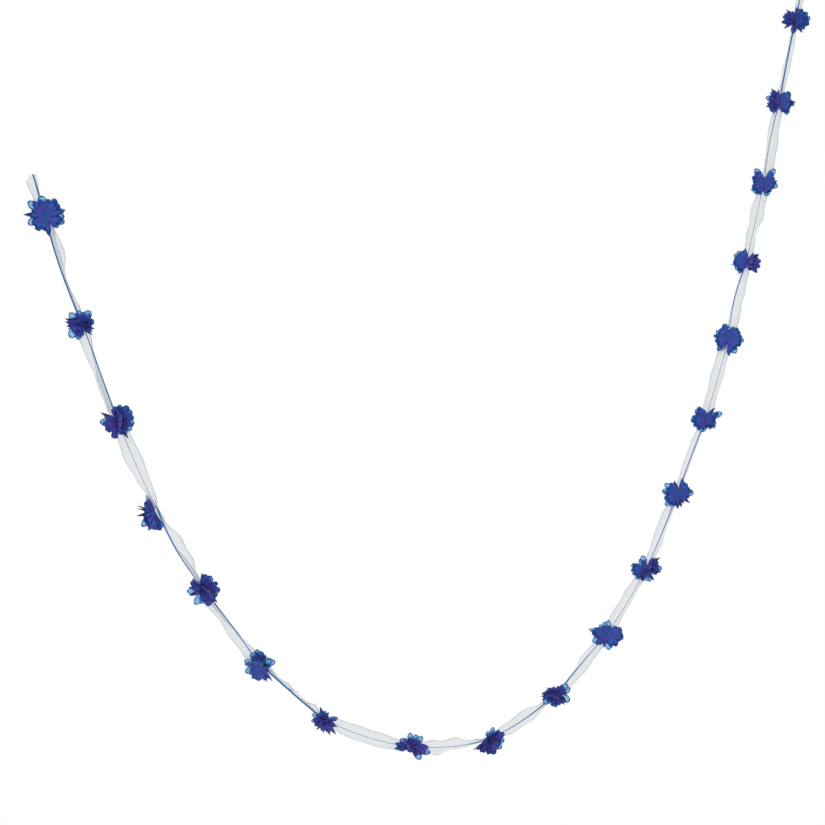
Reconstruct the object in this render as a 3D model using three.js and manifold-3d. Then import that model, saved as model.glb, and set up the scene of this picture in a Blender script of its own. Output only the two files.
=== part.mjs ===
// A fabric flower garland, hung as a swag between two points.
//
// One long sheer ribbon hangs in a shallow curve. A round thread runs down the middle of it, and nineteen
// blooms are sewn over the thread at an even pitch. Each bloom is a stack of scalloped discs of sheer
// cloth. The stack is stitched through its middle, which draws it into two lobes with a notch between them.
//
// Millimetres. The swag hangs in the XZ plane with +Z up, from its left end to its right end along +X.
// The origin is the middle of the flat back face of the left tail, where the garland is pinned up.
// -Y is the side that the thread and the blooms are sewn on.
import * as THREE from 'three';
import { mergeVertices } from 'three/addons/utils/BufferGeometryUtils.js';
import Module from 'manifold-3d';

const wasm = await Module();
wasm.setup();

// ---- driving dimensions
const RIBBON_WIDTH = 22;
const RIBBON_THICKNESS = 0.7;
const THREAD_DIAMETER = 1.0;
const THREAD_SIDES = 8;
const SEWN_GAP = 0.3;

const GATHERED_WIDTH = 5.2; // where a bloom's stitches draw the ribbon together
const NECK_WIDTH = 9.5; // where the ribbon comes out from under a bloom
const TAIL_WIDTH = 11; // the ends are folded double

const LAYERS = 4; // discs in a stack
const PETAL_THICKNESS = 0.8;
const LAYER_SHRINK = 0.95; // each disc is this much smaller than the one under it
const LIFT_SPREAD = 6; // degrees by which a disc's lift strays
const SLANT_SPREAD = 12; // degrees by which a disc is turned round in its stack
const LOBES = 4; // rounded petal tips on each half of a disc
const LOBE_SPACING = 42; // degrees
const LOBE_REACH = [0.88, 1.04]; // a lobe's length, at its shortest and its longest, as shares of the reach
const SIDE_LOBE_GAIN = 0.04; // how much further the lobes beside the notch reach
const RUFFLE = 2.4; // how far a petal's edge waves out of its disc
const LEAN = 0.8; // how far a whole petal leans out of its disc, as a share of the ruffle

// A petal's edge: degrees from its middle, share of its length, and wave as a share of the ruffle.
const TIP_EDGE = [
  { turn: -11, share: 0.91, wave: 0.35 },
  { turn: 0, share: 1, wave: -0.3 },
  { turn: 11, share: 0.91, wave: 0.35 },
];
const NOTCH = { turn: LOBE_SPACING / 2, share: 0.75, wave: -0.5 }; // between two petals

const CORE_LENGTH = 15; // the gathered middle of a stack, along its stitches
const CORE_WIDTH = 7;
const CORE_DEPTH = 4;
const CORE_SIDES = 6;
const DISC_CORNER = CORE_LENGTH * 0.38; // from a disc's middle to where its edge meets the stitches
const DISC_OVERLAP = CORE_WIDTH / 8; // how far each half starts out from the stitches
const HUB_SHARE = 0.3; // where a half disc's creases meet, as a share of its reach

// Where the ribbon is held and where each bloom is sewn, and how each bloom lies. spin turns a bloom round
// the ribbon from facing -Y, and skew turns its stitches away from the ribbon's direction. inner and outer
// are its two halves, towards the inside and the outside of the swag: how far the first and the last disc
// stand up from the ribbon there. All these are in degrees. reach is the length of its petals.
const LEFT_END = { x: -4, z: 9 };
const RIGHT_END = { x: 962, z: 309 };
const BLOOMS = [
  { x: 9.5, z: -27.5, spin: 14, skew: 12, reach: 20, inner: [-8, 30], outer: [-14, 20] },
  { x: 44, z: -130, spin: 42, skew: 66, reach: 16, inner: [12, 74], outer: [22, 78] },
  { x: 78, z: -225, spin: 28, skew: -20, reach: 18, inner: [12, 74], outer: [-2, 70] },
  { x: 117.5, z: -315.5, spin: 84, skew: 82, reach: 18, inner: [8, 74], outer: [8, 74] },
  { x: 164, z: -398, spin: 20, skew: 6, reach: 18, inner: [2, 66], outer: [0, 62] },
  { x: 224, z: -481, spin: 46, skew: 34, reach: 17.5, inner: [14, 70], outer: [-6, 46] },
  { x: 296.5, z: -548, spin: 24, skew: 2, reach: 15.5, inner: [6, 68], outer: [18, 76] },
  { x: 400, z: -592, spin: -4, skew: -34, reach: 18, inner: [0, 62], outer: [6, 66] },
  { x: 500, z: -597, spin: 12, skew: 28, reach: 16, inner: [28, 80], outer: [28, 80] },
  { x: 591, z: -557.5, spin: -24, skew: -38, reach: 16, inner: [16, 72], outer: [22, 76] },
  { x: 663, z: -494, spin: -28, skew: 10, reach: 18.5, inner: [-12, 26], outer: [-12, 24] },
  { x: 721, z: -420, spin: -36, skew: 0, reach: 17, inner: [-12, 18], outer: [8, 74] },
  { x: 769, z: -330, spin: -36, skew: 10, reach: 18, inner: [-4, 40], outer: [0, 44] },
  { x: 811.5, z: -238.5, spin: -36, skew: -4, reach: 18, inner: [-6, 46], outer: [0, 62] },
  { x: 847, z: -139.5, spin: -40, skew: 6, reach: 19, inner: [-12, 20], outer: [-14, 22] },
  { x: 875, z: -44, spin: -40, skew: -2, reach: 17.5, inner: [-14, 16], outer: [2, 64] },
  { x: 902, z: 57, spin: -36, skew: 0, reach: 17, inner: [-12, 22], outer: [-12, 24] },
  { x: 926, z: 160, spin: -35, skew: 4, reach: 18, inner: [2, 66], outer: [-14, 14] },
  { x: 951, z: 264, spin: -40, skew: 12, reach: 17, inner: [10, 66], outer: [-8, 38] },
];

// How each stretch of ribbon from one bloom to the next hangs: its width against the flat ribbon's, how far
// its two halves fold back from the thread, and how far it turns about the thread, in degrees.
const STRETCHES = [
  { spread: 0.8, fold: 38, turn: 22 },
  { spread: 0.86, fold: 24, turn: -20 },
  { spread: 0.98, fold: 8, turn: 6 },
  { spread: 0.84, fold: 34, turn: 40 },
  { spread: 0.86, fold: 30, turn: -28 },
  { spread: 0.66, fold: 52, turn: 38 },
  { spread: 0.98, fold: 6, turn: -8 },
  { spread: 0.98, fold: 10, turn: 4 },
  { spread: 0.96, fold: 14, turn: 12 },
  { spread: 0.88, fold: 34, turn: -30 },
  { spread: 0.94, fold: 16, turn: -12 },
  { spread: 0.94, fold: 18, turn: 14 },
  { spread: 0.78, fold: 40, turn: 20 },
  { spread: 0.94, fold: 16, turn: -10 },
  { spread: 0.9, fold: 24, turn: -18 },
  { spread: 0.98, fold: 6, turn: 0 },
  { spread: 0.92, fold: 20, turn: -14 },
  { spread: 0.86, fold: 30, turn: 16 },
];
const STOPS = [0, 0.15, 0.36, 0.64, 0.85]; // places along a stretch, as shares of it
const TAIL_STOPS = [0, 0.5]; // places along a tail, from its cut end
const NECK_TURN = 0.5; // how much of a bloom's spin the ribbon still has as it leaves the bloom

// ---- the route that the ribbon hangs along
const RIBBON_Y = -RIBBON_THICKNESS / 2; // the tails' back faces lie in the plane of the origin
const FRONT = new THREE.Vector3(0, -1, 0);
const held = [LEFT_END, ...BLOOMS, RIGHT_END];
const route = new THREE.CatmullRomCurve3(held.map(({ x, z }) => new THREE.Vector3(x, RIBBON_Y, z)));
const radians = THREE.MathUtils.degToRad;

/** The route's place and direction, a share of the way from one held point to the next. */
function along(index, share) {
  const t = (index + share) / (held.length - 1);
  return { centre: route.getPoint(t), direction: route.getTangent(t) };
}

/** A station is one cross-section of the ribbon: its axes, half width and fold. */
function station(index, share, width, fold, turn) {
  const { centre, direction } = along(index, share);
  const face = FRONT.clone().applyAxisAngle(direction, radians(turn));
  const across = face.clone().cross(direction);
  return { centre, face, across, halfWidth: width / 2, fold: radians(fold) };
}

function tailStations(index, shares) {
  return shares.map((share) => station(index, share, TAIL_WIDTH, 0, 0));
}

function stretchStations(stretch, index) {
  const spins = [BLOOMS[index].spin, BLOOMS[index + 1].spin];
  const open = [RIBBON_WIDTH * stretch.spread, stretch.fold, stretch.turn];
  const sections = [
    [GATHERED_WIDTH, 0, spins[0]],
    [NECK_WIDTH, stretch.fold / 2, THREE.MathUtils.lerp(stretch.turn, spins[0], NECK_TURN)],
    open,
    open,
    [NECK_WIDTH, stretch.fold / 2, THREE.MathUtils.lerp(stretch.turn, spins[1], NECK_TURN)],
  ];
  return sections.map(([width, fold, turn], stop) => station(index + 1, STOPS[stop], width, fold, turn));
}

const lastBloom = BLOOMS.length;
const stations = [
  ...tailStations(0, TAIL_STOPS),
  ...STRETCHES.flatMap(stretchStations),
  station(lastBloom, 0, GATHERED_WIDTH, 0, BLOOMS[lastBloom - 1].spin),
  ...tailStations(lastBloom, TAIL_STOPS.map((share) => 1 - share).reverse()),
];
const STEPS = stations.length - 1;

/** Lays a geometry, made from 0 to 1 along Z, along the stations. place gives a point from its section. */
function layAlongRoute(geometry, place) {
  const position = geometry.getAttribute('position');
  for (let i = 0; i < position.count; i += 1) {
    const section = stations[Math.round(position.getZ(i) * STEPS)];
    const point = place(section, position.getX(i), position.getY(i));
    position.setXYZ(i, point.x, point.y, point.z);
  }
  geometry.computeVertexNormals();
  return geometry;
}

const BACK_FACE = 3; // the group of a BoxGeometry that looks along -Y

/** Splits the quads of a box's back face along the same diagonals as its front's, so no twist crosses them. */
function matchDiagonals(box) {
  const { start, count } = box.groups[BACK_FACE];
  const corners = box.getIndex().array;
  for (let i = start; i < start + count; i += 6) {
    const [a, b, d, , c] = corners.slice(i, i + 6);
    corners.set([a, b, c, a, c, d], i);
  }
  return box;
}

/** The ribbon, folded back along its middle line. */
function ribbonGeometry() {
  const strip = matchDiagonals(new THREE.BoxGeometry(2, RIBBON_THICKNESS, 1, 2, 1, STEPS));
  strip.translate(0, 0, 0.5);
  return layAlongRoute(strip, (section, x, y) => {
    const outward = x * section.halfWidth;
    return section.centre
      .clone()
      .addScaledVector(section.across, outward * Math.cos(section.fold))
      .addScaledVector(section.face, y - Math.abs(outward) * Math.sin(section.fold));
  });
}

const THREAD_HEIGHT = RIBBON_THICKNESS / 2 + SEWN_GAP + THREAD_DIAMETER / 2;

/** The thread, along the ridge of the ribbon. */
function threadGeometry() {
  const radius = THREAD_DIAMETER / 2;
  const cord = new THREE.CylinderGeometry(radius, radius, 1, THREAD_SIDES, STEPS);
  cord.rotateX(Math.PI / 2).translate(0, 0, 0.5);
  return layAlongRoute(cord, (section, x, y) =>
    section.centre
      .clone()
      .addScaledVector(section.across, x)
      .addScaledVector(section.face, THREAD_HEIGHT + y),
  );
}

// ---- the blooms
/** Random numbers from 0 to 1 that are the same on every run. */
function seededRandom(seed) {
  let state = Math.imul(seed, 2654435761) >>> 0;
  return () => {
    state = (state * 1664525 + 1013904223) % 4294967296;
    return state / 4294967296;
  };
}

function between([low, high], random) {
  return THREE.MathUtils.lerp(low, high, random());
}

function strayBy(spread, random) {
  return between([-spread / 2, spread / 2], random);
}

/** The outline of half a scalloped disc, as points along and across its stitches, with their waves. */
function halfDiscOutline(reach, random) {
  const outline = [{ along: -DISC_CORNER, across: 0, wave: 0 }];
  const widest = ((LOBES - 1) / 2) * LOBE_SPACING;
  const slant = strayBy(SLANT_SPREAD, random);
  for (let lobe = 0; lobe < LOBES; lobe += 1) {
    const middle = lobe * LOBE_SPACING - widest;
    const gain = 1 + SIDE_LOBE_GAIN * (middle / widest) ** 2;
    const length = reach * gain * between(LOBE_REACH, random);
    const lean = between([-LEAN, LEAN], random);
    const edge = TIP_EDGE.map((point) => ({ ...point, wave: point.wave + lean }));
    if (lobe < LOBES - 1) {
      edge.push(NOTCH);
    }
    for (const { turn, share, wave } of edge) {
      const angle = radians(middle + turn + slant);
      outline.push({
        along: length * share * Math.sin(angle),
        across: length * share * Math.cos(angle),
        wave: RUFFLE * wave,
      });
    }
  }
  outline.push({ along: DISC_CORNER, across: 0, wave: 0 });
  return outline;
}

/** Half a disc as a thin solid: a fan of triangles in x and y whose edge waves in z, and its twin above. */
function halfDisc(reach, random) {
  const outline = halfDiscOutline(reach, random);
  const sides = outline.length;
  const disc = new THREE.CylinderGeometry(1, 1, PETAL_THICKNESS, sides);
  disc.rotateX(Math.PI / 2);
  const position = disc.getAttribute('position');
  const hub = { along: 0, across: reach * HUB_SHARE, wave: 0 };
  for (let i = 0; i < position.count; i += 1) {
    const [x, y, z] = [position.getX(i), position.getY(i), position.getZ(i)];
    const onEdge = Math.hypot(x, y) > 0.5;
    const corner = Math.round((Math.atan2(x, y) / (2 * Math.PI)) * sides + sides) % sides;
    const point = onEdge ? outline[corner] : hub;
    position.setXYZ(i, point.along, point.across, z + point.wave);
  }
  return disc;
}

/** A closed three.js geometry as a solid that can be joined to others. */
function solid(geometry) {
  const bare = geometry.clone().toNonIndexed();
  bare.deleteAttribute('normal');
  bare.deleteAttribute('uv');
  const merged = mergeVertices(bare, 1e-4);
  const mesh = new wasm.Mesh({
    numProp: 3,
    vertProperties: new Float32Array(merged.getAttribute('position').array),
    triVerts: new Uint32Array(merged.getIndex().array),
  });
  return new wasm.Manifold(mesh);
}

/** The largest outer skin of a solid, so that a pocket sealed between petals is filled. */
function largestBody(manifold) {
  return manifold.decompose().reduce((best, body) => (body.volume() > best.volume() ? body : best));
}

function geometryOf(manifold) {
  const mesh = manifold.getMesh();
  const geometry = new THREE.BufferGeometry();
  geometry.setAttribute('position', new THREE.BufferAttribute(mesh.vertProperties, 3));
  geometry.setIndex(new THREE.BufferAttribute(mesh.triVerts, 1));
  geometry.computeVertexNormals();
  return geometry;
}

/** One bloom in its own axes: x along its stitches, z away from the ribbon, its seat at the origin. */
function bloomGeometry({ reach, inner, outer }, index) {
  const random = seededRandom(index + 1);
  const core = new THREE.CylinderGeometry(1, 1, CORE_LENGTH, CORE_SIDES, 1, false, Math.PI / CORE_SIDES);
  core.rotateZ(Math.PI / 2).scale(1, CORE_WIDTH / 2, CORE_DEPTH / 2);
  let stack = solid(core);
  for (let layer = 0; layer < LAYERS; layer += 1) {
    for (const { lift, side } of [{ lift: inner, side: 0 }, { lift: outer, side: 180 }]) {
      const rise = THREE.MathUtils.lerp(lift[0], lift[1], layer / (LAYERS - 1));
      const half = halfDisc(reach * LAYER_SHRINK ** layer, random);
      half.translate(0, DISC_OVERLAP, 0);
      half.rotateX(radians(rise + strayBy(LIFT_SPREAD, random)));
      half.rotateZ(radians(side));
      stack = stack.add(solid(half));
    }
  }
  const coreBottom = (CORE_DEPTH / 2) * Math.cos(Math.PI / CORE_SIDES);
  return geometryOf(largestBody(stack)).translate(0, 0, coreBottom);
}

const SEAT_HEIGHT = RIBBON_THICKNESS / 2 + SEWN_GAP + THREAD_DIAMETER + SEWN_GAP;

/** Sets a bloom on the thread where it is sewn, turned by its spin and its skew. */
function sewOn(mesh, { spin, skew }, index) {
  const { centre, direction } = along(index + 1, 0);
  const outward = FRONT.clone().applyAxisAngle(direction, radians(spin));
  const stitches = direction.clone().applyAxisAngle(outward, radians(skew));
  const sideways = outward.clone().cross(stitches);
  mesh.quaternion.setFromRotationMatrix(new THREE.Matrix4().makeBasis(stitches, sideways, outward));
  mesh.position.copy(centre).addScaledVector(outward, SEAT_HEIGHT);
}

// ---- materials and assembly
const organza = new THREE.MeshStandardMaterial({ color: 0xdfe4e6, roughness: 0.55, metalness: 0 });
const cord = new THREE.MeshStandardMaterial({ color: 0x1f5fa6, roughness: 0.6, metalness: 0 });
const chiffon = new THREE.MeshStandardMaterial({ color: 0x3b3fa0, roughness: 0.7, metalness: 0 });

function named(name, geometry, material) {
  const mesh = new THREE.Mesh(geometry, material.clone());
  mesh.name = name;
  return mesh;
}

const garland = new THREE.Group();
garland.add(named('ribbon', ribbonGeometry(), organza));
garland.add(named('thread', threadGeometry(), cord));
BLOOMS.forEach((bloom, index) => {
  const name = `bloom_${String(index + 1).padStart(2, '0')}`;
  const mesh = named(name, bloomGeometry(bloom, index), chiffon);
  sewOn(mesh, bloom, index);
  garland.add(mesh);
});

export default garland;
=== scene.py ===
# %% [markdown]
# # A fabric flower garland
#
# The garland hangs as a swag: a sheer white ribbon, a blue thread down its middle, and nineteen blooms of
# sheer blue cloth sewn over the thread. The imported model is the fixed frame, and every solid in it is
# replaced here by cloth. Everything is in metres, and each finished piece keeps its object at the origin with
# its place in its mesh.

# %% Load the frame
import math
from collections import namedtuple
from random import Random

import bmesh
import bpy
from mathutils import Matrix, Vector
from mathutils.bvhtree import BVHTree
from mathutils.noise import noise


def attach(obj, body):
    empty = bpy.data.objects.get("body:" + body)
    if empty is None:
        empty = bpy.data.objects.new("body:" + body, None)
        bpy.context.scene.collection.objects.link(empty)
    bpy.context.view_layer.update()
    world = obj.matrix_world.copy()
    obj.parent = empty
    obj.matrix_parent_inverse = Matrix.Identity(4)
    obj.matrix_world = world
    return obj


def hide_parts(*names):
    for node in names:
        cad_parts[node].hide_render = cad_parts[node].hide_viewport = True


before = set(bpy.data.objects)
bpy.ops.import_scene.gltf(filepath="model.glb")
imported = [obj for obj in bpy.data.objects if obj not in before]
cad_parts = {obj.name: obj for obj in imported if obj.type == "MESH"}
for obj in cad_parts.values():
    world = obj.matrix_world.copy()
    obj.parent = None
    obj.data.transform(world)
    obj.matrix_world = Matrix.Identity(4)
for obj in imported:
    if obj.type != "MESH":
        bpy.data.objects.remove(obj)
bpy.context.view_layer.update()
MM = 0.001
print("nodes in the frame:", len(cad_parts))

# %% [markdown]
# ## The camera
#
# The garland was photographed from the left of its middle, so its right side runs away from the viewer and
# its blooms look smaller there. A longer lens from further off could frame the same swag, but the blooms
# would shrink less along it, so the camera's place and heading were worked out from how fast they shrink.

# %% Camera
VIEW_ANGLE = math.radians(35)
HEADING = math.radians(27.4)  # from straight ahead, +Y, towards +X
TILT = math.radians(-2.4)
EYE = Vector((-0.2552, -1.2702, -0.1630))


def add_object(name, data):
    """A new object for a mesh, a lamp or a camera's lens."""
    made = bpy.data.objects.new(name, data)
    bpy.context.scene.collection.objects.link(made)
    return made


def aimed(place, ahead):
    """The matrix of a camera or a lamp that looks ahead from place."""
    return Matrix.Translation(place) @ ahead.to_track_quat("-Z", "Y").to_matrix().to_4x4()


lens = bpy.data.cameras.new("camera")
lens.sensor_width = 36
lens.lens = lens.sensor_width / 2 / math.tan(VIEW_ANGLE / 2)
camera = add_object("camera", lens)
ahead = Vector((math.sin(HEADING) * math.cos(TILT), math.cos(HEADING) * math.cos(TILT), math.sin(TILT)))
camera.matrix_world = aimed(EYE, ahead)
bpy.context.scene.camera = camera
print("lens", round(lens.lens, 1), "mm")

# %% [markdown]
# ## The route
#
# The ribbon hangs in a smooth curve through its two pinned ends and the nineteen places where a bloom is
# sewn, which are in millimetres and the same as in the part's source. A curve with handles would need two of
# them at each point. A spline of cubic pieces passes through every point by itself, and the centripetal kind,
# which spaces its steps by the square root of each gap, never loops where two points lie close.

# %% Route
LEFT_END = (-4, 9)
RIGHT_END = (962, 309)
SEWN_AT = [
    (9.5, -27.5), (44, -130), (78, -225), (117.5, -315.5), (164, -398), (224, -481), (296.5, -548),
    (400, -592), (500, -597), (591, -557.5), (663, -494), (721, -420), (769, -330), (811.5, -238.5),
    (847, -139.5), (875, -44), (902, 57), (926, 160), (951, 264),
]
RIBBON_THICKNESS = 0.7 * MM  # of the frame's solid
HELD = [Vector((x * MM, -RIBBON_THICKNESS / 2, z * MM)) for x, z in [LEFT_END, *SEWN_AT, RIGHT_END]]
BEFORE_FIRST = 2 * HELD[0] - HELD[1]
AFTER_LAST = 2 * HELD[-1] - HELD[-2]
GUIDES = [BEFORE_FIRST, *HELD, AFTER_LAST]
STRETCHES = len(HELD) - 1


def route(t):
    """The place and the direction of the ribbon's middle line, t stretches along from its left end."""
    index = min(int(t), STRETCHES - 1)
    before, start, end, after = GUIDES[index:index + 4]
    gaps = [(b - a).length ** 0.5 for a, b in ((before, start), (start, end), (end, after))]
    chord = end - start
    leaving = (start - before) / gaps[0] - (end - before) / (gaps[0] + gaps[1]) + chord / gaps[1]
    arriving = chord / gaps[1] - (after - start) / (gaps[1] + gaps[2]) + (after - end) / gaps[2]
    leaving, arriving = leaving * gaps[1], arriving * gaps[1]
    cubic = -2 * chord + leaving + arriving
    square = 3 * chord - 2 * leaving - arriving
    s = t - index
    place = start + s * (leaving + s * (square + s * cubic))
    direction = leaving + s * (2 * square + s * 3 * cubic)
    return place, direction.normalized()


def facing(place, direction):
    """The axes of a cross-section: out of the ribbon towards the viewer, and towards the swag's inside."""
    outward = EYE - place
    outward = (outward - direction * outward.dot(direction)).normalized()
    return outward, outward.cross(direction)


STEPS_PER_STRETCH = 36
places = [route(k / STEPS_PER_STRETCH)[0] for k in range(STRETCHES * STEPS_PER_STRETCH + 1)]
ribbon_length = sum((b - a).length for a, b in zip(places, places[1:]))
print("length of the ribbon along its route:", round(ribbon_length, 3), "m")

# %% [markdown]
# ## Helpers
#
# Colours are written as the sRGB hex values that a painter would pick, and one function turns them into the
# linear light that Blender's shaders want. Another adds a shader node with its settings and its links. The
# rest turn a bmesh into a piece of the garland, and ease one number into another.

# %% Colour, node and piece helpers
def linear(code):
    """An sRGB hex colour as the linear RGBA that Blender's shaders use."""
    shares = [int(code[k:k + 2], 16) / 255 for k in (1, 3, 5)]
    return *(c / 12.92 if c <= 0.04045 else ((c + 0.055) / 1.055) ** 2.4 for c in shares), 1.0


def add_node(material, kind, inputs=None, **settings):
    """Adds a shader node. A tuple of a node and its output's name is linked, and anything else is a value."""
    node = material.node_tree.nodes.new("ShaderNode" + kind)
    for name, value in settings.items():
        setattr(node, name, value)
    for name, value in (inputs or {}).items():
        if isinstance(value, tuple) and isinstance(value[0], bpy.types.Node):
            material.node_tree.links.new(value[0].outputs[value[1]], node.inputs[name])
        else:
            node.inputs[name].default_value = value
    return node


def new_material(name):
    """An empty node material."""
    material = bpy.data.materials.new(name)
    material.use_nodes = True
    material.node_tree.nodes.clear()
    return material


def colour_ramp(material, factor, stops):
    """A colour ramp through stops, which are (place, hex colour)."""
    ramp = add_node(material, "ValToRGB", {"Fac": factor})
    while len(ramp.color_ramp.elements) < len(stops):
        ramp.color_ramp.elements.new(1.0)
    for element, (place, code) in zip(ramp.color_ramp.elements, stops):
        element.position = place
        element.color = linear(code)
    return ramp


def finish_mesh(bm, name, material):
    """An object whose mesh is the bmesh."""
    mesh = bpy.data.meshes.new(name)
    bm.to_mesh(mesh)
    bm.free()
    mesh.materials.append(material)
    return add_object(name, mesh)


def finish_piece(bm, name, material, thickness=0.0):
    """Makes a bmesh a smooth piece that rides on the garland, with a thickness of cloth if one is given."""
    piece = finish_mesh(bm, name, material)
    piece.data.shade_smooth()
    if thickness:
        cloth = piece.modifiers.new("cloth", "SOLIDIFY")
        cloth.thickness = thickness
        cloth.offset = 0
    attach(piece, "root")
    return piece


def smooth_step(a, b, s):
    """From a to b, easing in and out, as s goes from 0 to 1."""
    s = min(max(s, 0.0), 1.0)
    return a + (b - a) * s * s * (3 - 2 * s)


def past(x, start, over):
    """How far x is past start, easing from 0 to 1 over this much."""
    return smooth_step(0, 1, (x - start) / over)


def mix(a, b, s):
    return a + (b - a) * s


def new_grid(rows, columns, *stored):
    """A flat grid's bmesh, each vertex's row and column, and layers: the cloth's UV and what is stored."""
    bm = bmesh.new()
    bmesh.ops.create_grid(bm, x_segments=rows, y_segments=columns, size=0.5)
    layers = [bm.loops.layers.uv.new("cloth"), *(bm.verts.layers.float.new(name) for name in stored)]
    cells = {v: (round((v.co.x + 0.5) * rows), round((v.co.y + 0.5) * columns)) for v in bm.verts}
    return bm, cells, layers


# %% [markdown]
# ## Finish: white nylon organza
#
# The ribbon is organza, a plain weave of fine stiff nylon with open gaps between its threads. Most light goes
# straight through, so over a white wall it reads as a pale grey veil, greyer where it lies double and at its
# two woven edges. A little of the thread's blue shows beside the middle line. A glass shader could let light
# through too, but it would bend it, and here light passes straight between the threads, so the alpha stands
# for the open gaps. The weave is about 0.2 mm, and is drawn four times as coarse so that a trace of it can
# show.

# %% Organza
ORGANZA_THICKNESS = 0.14 * MM
RIBBON_WIDTH = 22 * MM
ORGANZA_ALPHA = 0.25  # for each of the sheet's two skins
WEAVE_PITCH = 0.8 * MM
# The blue shows once a half shows less than BLUE_FROM of its width, and is full BLUE_OVER below that.
BLUE_FROM, BLUE_OVER = 0.45, 0.4


def weave(material, coordinates, pitch):
    """A plain weave's warp and weft as one number from 0 to 1. The coordinates are in metres on the cloth."""
    per_wave = 0.1 / pitch  # a wave texture has about ten waves to the unit at a scale of 10/pi
    bands = [
        add_node(material, "TexWave", {"Vector": coordinates, "Scale": per_wave * math.pi, "Distortion": 0.4,
                 "Detail Scale": 3.0}, wave_type="BANDS", bands_direction=direction)
        for direction in ("X", "Y")
    ]
    return add_node(material, "Math", {0: (bands[0], "Fac"), 1: (bands[1], "Fac")}, operation="MULTIPLY")


def edge_to_edge(material, factor, stops):
    """A colour ramp from one woven edge of the ribbon to the other. The stops are those of one half."""
    other_half = [(1 - place, code) for place, code in reversed(stops) if place < 0.5]
    return colour_ramp(material, factor, stops + other_half)


def organza():
    material = new_material("white nylon organza")
    uv = add_node(material, "UVMap", uv_map="cloth")
    split = add_node(material, "SeparateXYZ", {"Vector": (uv, "UV")})
    across = add_node(material, "Math", {0: (split, "Y"), 1: RIBBON_WIDTH}, operation="DIVIDE")
    plain, dense, dyed = (edge_to_edge(material, (across, "Value"), stops) for stops in (
        [(0.0, "#8C97A0"), (0.06, "#A8B2B9"), (0.3, "#B4BEC5")],
        [(0.0, "#64747C"), (0.06, "#84939A"), (0.3, "#94A3A9")],
        [(0.0, "#7C9FBC"), (0.2, "#739FC8"), (0.5, "#4787C2")],
    ))
    gathered = add_node(material, "Attribute", attribute_name="gathered")
    veil = add_node(material, "Mix", {"Factor": (gathered, "Fac"), "A": (plain, "Color"),
                    "B": (dense, "Color")}, data_type="RGBA")
    blue = add_node(material, "Attribute", attribute_name="blue")
    tint = add_node(material, "Mix", {"Factor": (blue, "Fac"), "A": (veil, "Result"), "B": (dyed, "Color")},
                    data_type="RGBA")
    threads = weave(material, (uv, "UV"), WEAVE_PITCH)
    bump = add_node(material, "Bump", {"Height": (threads, "Value"), "Strength": 0.25, "Distance": 0.05 * MM})
    cloth = add_node(material, "BsdfPrincipled", {
        "Base Color": (tint, "Result"), "Roughness": 0.5, "IOR": 1.53, "Alpha": ORGANZA_ALPHA,
        "Sheen Weight": 0.15, "Sheen Roughness": 0.4, "Normal": (bump, "Normal"),
    })
    add_node(material, "OutputMaterial", {"Surface": (cloth, "BSDF")})
    return material


ORGANZA = organza()

# %% [markdown]
# ## The ribbon
#
# The ribbon is one flat strip. Its stitches draw it together at each bloom in tucks, which open between the
# blooms, and its two halves fold back from the thread by different amounts, so that some stretches hang open
# and others double. A cloth simulation would fold it too, but not where the photograph shows folds. A flat
# grid has the strip's own rows and columns, and each row is laid down as a cross-section, whose halves turn
# away from the viewer until they show as much as in the photograph. The outermost column is turned back
# under, as a woven edge rolls.

# %% How each stretch of ribbon hangs
# One line for each stretch, from left to right. inner and outer are how much of each half's width shows at
# four places along the stretch: 1 is all of it, 0 is edge on, and below 0 the half is folded behind the other
# one. The inner half lies towards the inside of the swag. necks are the same where the stretch comes out from
# under a bloom and where it runs under the next. bow is how far its middle swings towards the swag's inside,
# in millimetres. gathered is how closely its cloth is drawn together, and ripple how much its edges wave, as
# a share of a half's width.
Hang = namedtuple("Hang", "inner outer necks bow gathered ripple")
HANGS = [Hang(*row) for row in (
    ((.3, .2, .1, .15), (.8, .75, .65, .6), (.45, .45), 3, .3, .02),
    ((.6, .9, .2, .55), (-.3, -.25, -.1, .1), (.4, .3), -2.5, .1, .04),
    ((.55, -.1, -.35, -.2), (.85, .7, .65, .7), (.5, .42), .5, .2, .05),
    ((.7, .82, .75, .6), (.75, .82, .65, .35), (.42, .22), -.5, 0, .03),
    ((.4, .9, .95, .5), (.2, .1, -.2, -.2), (.2, .15), -2.5, 0, .05),
    ((-.2, -.2, .15, .6), (.85, .72, .8, .8), (.42, .42), 2.5, .15, .03),
    ((.45, .15, .4, .7), (-.2, -.2, -.15, 0), (.25, .3), 2.5, 0, .16),
    ((.75, .82, .85, .7), (.65, .7, .7, .7), (.25, .42), 0, 0, .03),
    ((.6, .8, .85, .5), (.5, .75, .35, .25), (.22, .25), 0, 0, .08),
    ((.55, .8, .85, .4), (.5, .65, .65, .4), (.22, .2), 0, .05, .05),
    ((-.1, .12, .6, .65), (.75, .85, .85, .7), (.25, .45), 2.5, .1, .04),
    ((.8, .85, .85, .8), (.65, .5, .42, .5), (.4, .4), 0, .15, .04),
    ((.65, .75, .88, .75), (.55, .55, .35, .35), (.35, .42), 0, .15, .03),
    ((.6, .65, .7, .65), (.25, .25, .2, .3), (.3, .4), 1, .25, .02),
    ((.75, .8, .9, .85), (.65, .6, .62, .6), (.45, .5), 0, .3, .04),
    ((.35, .2, .12, .25), (.9, .98, .95, .8), (.45, .45), 4.5, .3, .03),
    ((.7, .72, .8, .75), (.65, .5, .8, .8), (.45, .42), .5, .45, .07),
    ((.4, .25, .55, .6), (.85, .98, .85, .75), (.5, .42), 2.5, .7, .05),
    ((.5, .42, .25, .3), (.5, .55, .62, .5), (.42, .3), .5, .6, .05),
    ((.5, .5, .5, .5), (.6, .6, .6, .6), (.4, .5), 0, .5, .03),
)]
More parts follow.
